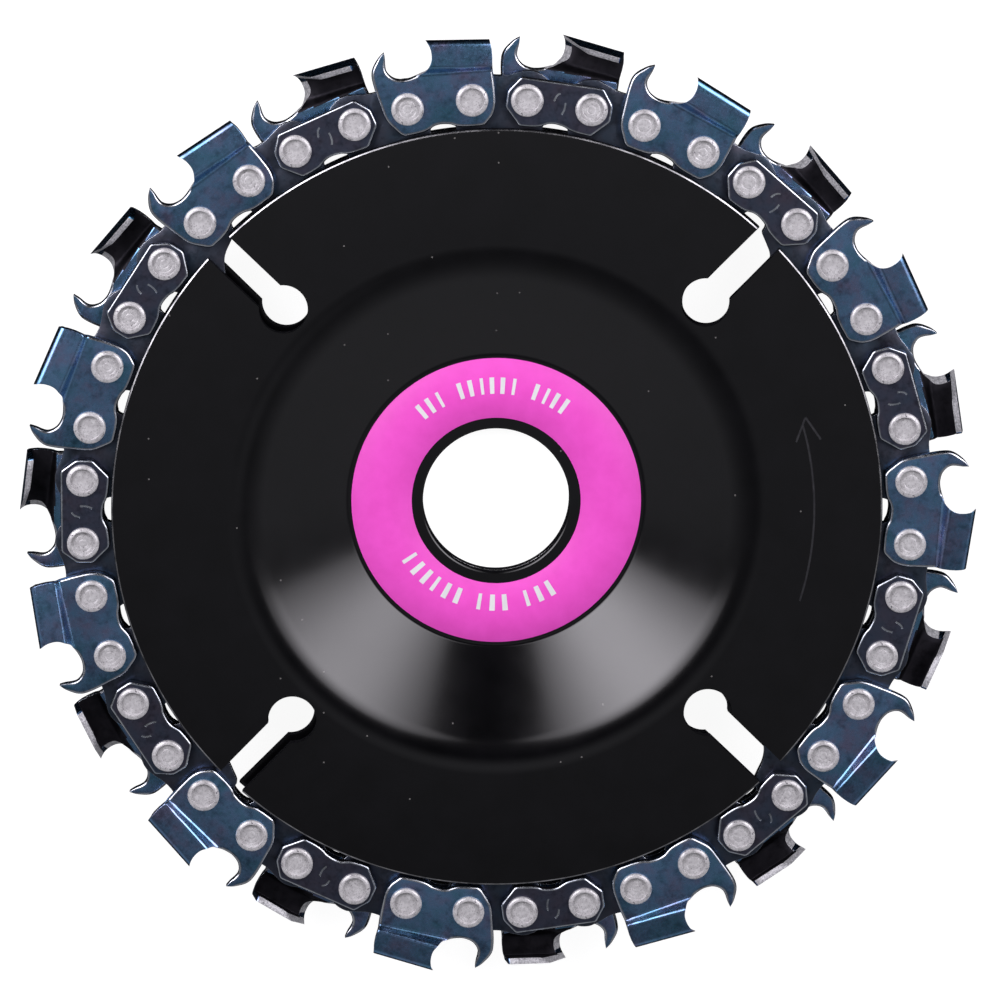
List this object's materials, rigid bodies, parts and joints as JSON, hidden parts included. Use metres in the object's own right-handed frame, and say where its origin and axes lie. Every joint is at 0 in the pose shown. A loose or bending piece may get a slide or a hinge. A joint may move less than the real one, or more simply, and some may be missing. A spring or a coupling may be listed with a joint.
{
  "type": "angle grinder chain carving disc",
  "caption": "Angle grinder carving disc: two dished black steel plates holding a loop of saw chain with alternating left and right cutters round the rim, on a 5/8 inch bore.",
  "frame": {"origin": "centre of the bore on the rear hub face, the face that meets the grinder's flange", "axes": "+Z along the bore axis out of the front, label side; the chain cuts counter-clockwise seen from +Z; +X points at the middle of the first left-hand cutter link"},
  "size_m": [0.1028, 0.1018, 0.01],
  "materials": {
    "black_plate": "satin black coating on stamped steel",
    "label_foil": "printed foil label, satin",
    "cutter_steel": "blued hard-chromed chain steel, satin",
    "drive_steel": "blued chain steel, satin",
    "rivet_steel": "bright spun rivet heads"
  },
  "bodies": {
    "rear_plate": {"rear_plate": "black_plate"},
    "front_plate": {"front_plate": "black_plate", "label_ring": "label_foil"},
    "chain": {"drive_link_01": "drive_steel", "drive_link_02": "drive_steel", "drive_link_03": "drive_steel", "drive_link_04": "drive_steel", "drive_link_05": "drive_steel", "drive_link_06": "drive_steel", "drive_link_07": "drive_steel", "drive_link_08": "drive_steel", "drive_link_09": "drive_steel", "drive_link_10": "drive_steel", "drive_link_11": "drive_steel", "drive_link_12": "drive_steel", "drive_link_13": "drive_steel", "drive_link_14": "drive_steel", "drive_link_15": "drive_steel", "drive_link_16": "drive_steel", "drive_link_17": "drive_steel", "drive_link_18": "drive_steel", "drive_link_19": "drive_steel", "drive_link_20": "drive_steel", "drive_link_21": "drive_steel", "drive_link_22": "drive_steel"},
    "link_01": {"left_cutter_link_01": "cutter_steel"},
    "link_02": {"right_cutter_link_02": "cutter_steel"},
    "link_03": {"left_cutter_link_03": "cutter_steel"},
    "link_04": {"right_cutter_link_04": "cutter_steel"},
    "link_05": {"left_cutter_link_05": "cutter_steel"},
    "link_06": {"right_cutter_link_06": "cutter_steel"},
    "link_07": {"left_cutter_link_07": "cutter_steel"},
    "link_08": {"right_cutter_link_08": "cutter_steel"},
    "link_09": {"left_cutter_link_09": "cutter_steel"},
    "link_10": {"right_cutter_link_10": "cutter_steel"},
    "link_11": {"left_cutter_link_11": "cutter_steel"},
    "link_12": {"right_cutter_link_12": "cutter_steel"},
    "link_13": {"left_cutter_link_13": "cutter_steel"},
    "link_14": {"right_cutter_link_14": "cutter_steel"},
    "link_15": {"left_cutter_link_15": "cutter_steel"},
    "link_16": {"right_cutter_link_16": "cutter_steel"},
    "link_17": {"left_cutter_link_17": "cutter_steel"},
    "link_18": {"right_cutter_link_18": "cutter_steel"},
    "link_19": {"left_cutter_link_19": "cutter_steel"},
    "link_20": {"right_cutter_link_20": "cutter_steel"},
    "link_21": {"left_cutter_link_21": "cutter_steel"},
    "link_22": {"right_cutter_link_22": "cutter_steel"}
  },
  "joints": [
    {"name": "chain_slip", "type": "hinge", "parent": "rear_plate", "child": "chain", "pos_m": [0, 0, 0.0071], "axis": [0, 0, 1], "continuous": true},
    {"name": "front_plate_lift", "type": "slide", "parent": "rear_plate", "child": "front_plate", "axis": [0, 0, 1], "range_m": [0, 0.012]},
    {"name": "link_01_rock", "type": "hinge", "parent": "chain", "child": "link_01", "pos_m": [0.04436, -0.0035, 0.0071], "axis": [0, 0, 1], "range_deg": [-1, 1]},
    {"name": "link_02_rock", "type": "hinge", "parent": "chain", "child": "link_02", "pos_m": [0.04355, 0.00914, 0.0071], "axis": [0, 0, 1], "range_deg": [-1, 1]},
    {"name": "link_03_rock", "type": "hinge", "parent": "chain", "child": "link_03", "pos_m": [0.03921, 0.02104, 0.0071], "axis": [0, 0, 1], "range_deg": [-1, 1]},
    {"name": "link_04_rock", "type": "hinge", "parent": "chain", "child": "link_04", "pos_m": [0.03169, 0.03124, 0.0071], "axis": [0, 0, 1], "range_deg": [-1, 1]},
    {"name": "link_05_rock", "type": "hinge", "parent": "chain", "child": "link_05", "pos_m": [0.02161, 0.0389, 0.0071], "axis": [0, 0, 1], "range_deg": [-1, 1]},
    {"name": "link_06_rock", "type": "hinge", "parent": "chain", "child": "link_06", "pos_m": [0.00977, 0.04341, 0.0071], "axis": [0, 0, 1], "range_deg": [-1, 1]},
    {"name": "link_07_rock", "type": "hinge", "parent": "chain", "child": "link_07", "pos_m": [-0.00285, 0.04441, 0.0071], "axis": [0, 0, 1], "range_deg": [-1, 1]},
    {"name": "link_08_rock", "type": "hinge", "parent": "chain", "child": "link_08", "pos_m": [-0.01525, 0.04181, 0.0071], "axis": [0, 0, 1], "range_deg": [-1, 1]},
    {"name": "link_09_rock", "type": "hinge", "parent": "chain", "child": "link_09", "pos_m": [-0.02641, 0.03582, 0.0071], "axis": [0, 0, 1], "range_deg": [-1, 1]},
    {"name": "link_10_rock", "type": "hinge", "parent": "chain", "child": "link_10", "pos_m": [-0.03543, 0.02693, 0.0071], "axis": [0, 0, 1], "range_deg": [-1, 1]},
    {"name": "link_11_rock", "type": "hinge", "parent": "chain", "child": "link_11", "pos_m": [-0.04158, 0.01585, 0.0071], "axis": [0, 0, 1], "range_deg": [-1, 1]},
    {"name": "link_12_rock", "type": "hinge", "parent": "chain", "child": "link_12", "pos_m": [-0.04436, 0.0035, 0.0071], "axis": [0, 0, 1], "range_deg": [-1, 1]},
    {"name": "link_13_rock", "type": "hinge", "parent": "chain", "child": "link_13", "pos_m": [-0.04355, -0.00914, 0.0071], "axis": [0, 0, 1], "range_deg": [-1, 1]},
    {"name": "link_14_rock", "type": "hinge", "parent": "chain", "child": "link_14", "pos_m": [-0.03921, -0.02104, 0.0071], "axis": [0, 0, 1], "range_deg": [-1, 1]},
    {"name": "link_15_rock", "type": "hinge", "parent": "chain", "child": "link_15", "pos_m": [-0.03169, -0.03124, 0.0071], "axis": [0, 0, 1], "range_deg": [-1, 1]},
    {"name": "link_16_rock", "type": "hinge", "parent": "chain", "child": "link_16", "pos_m": [-0.02161, -0.0389, 0.0071], "axis": [0, 0, 1], "range_deg": [-1, 1]},
    {"name": "link_17_rock", "type": "hinge", "parent": "chain", "child": "link_17", "pos_m": [-0.00977, -0.04341, 0.0071], "axis": [0, 0, 1], "range_deg": [-1, 1]},
    {"name": "link_18_rock", "type": "hinge", "parent": "chain", "child": "link_18", "pos_m": [0.00285, -0.04441, 0.0071], "axis": [0, 0, 1], "range_deg": [-1, 1]},
    {"name": "link_19_rock", "type": "hinge", "parent": "chain", "child": "link_19", "pos_m": [0.01525, -0.04181, 0.0071], "axis": [0, 0, 1], "range_deg": [-1, 1]},
    {"name": "link_20_rock", "type": "hinge", "parent": "chain", "child": "link_20", "pos_m": [0.02641, -0.03582, 0.0071], "axis": [0, 0, 1], "range_deg": [-1, 1]},
    {"name": "link_21_rock", "type": "hinge", "parent": "chain", "child": "link_21", "pos_m": [0.03543, -0.02693, 0.0071], "axis": [0, 0, 1], "range_deg": [-1, 1]},
    {"name": "link_22_rock", "type": "hinge", "parent": "chain", "child": "link_22", "pos_m": [0.04158, -0.01585, 0.0071], "axis": [0, 0, 1], "range_deg": [-1, 1]}
  ]
}
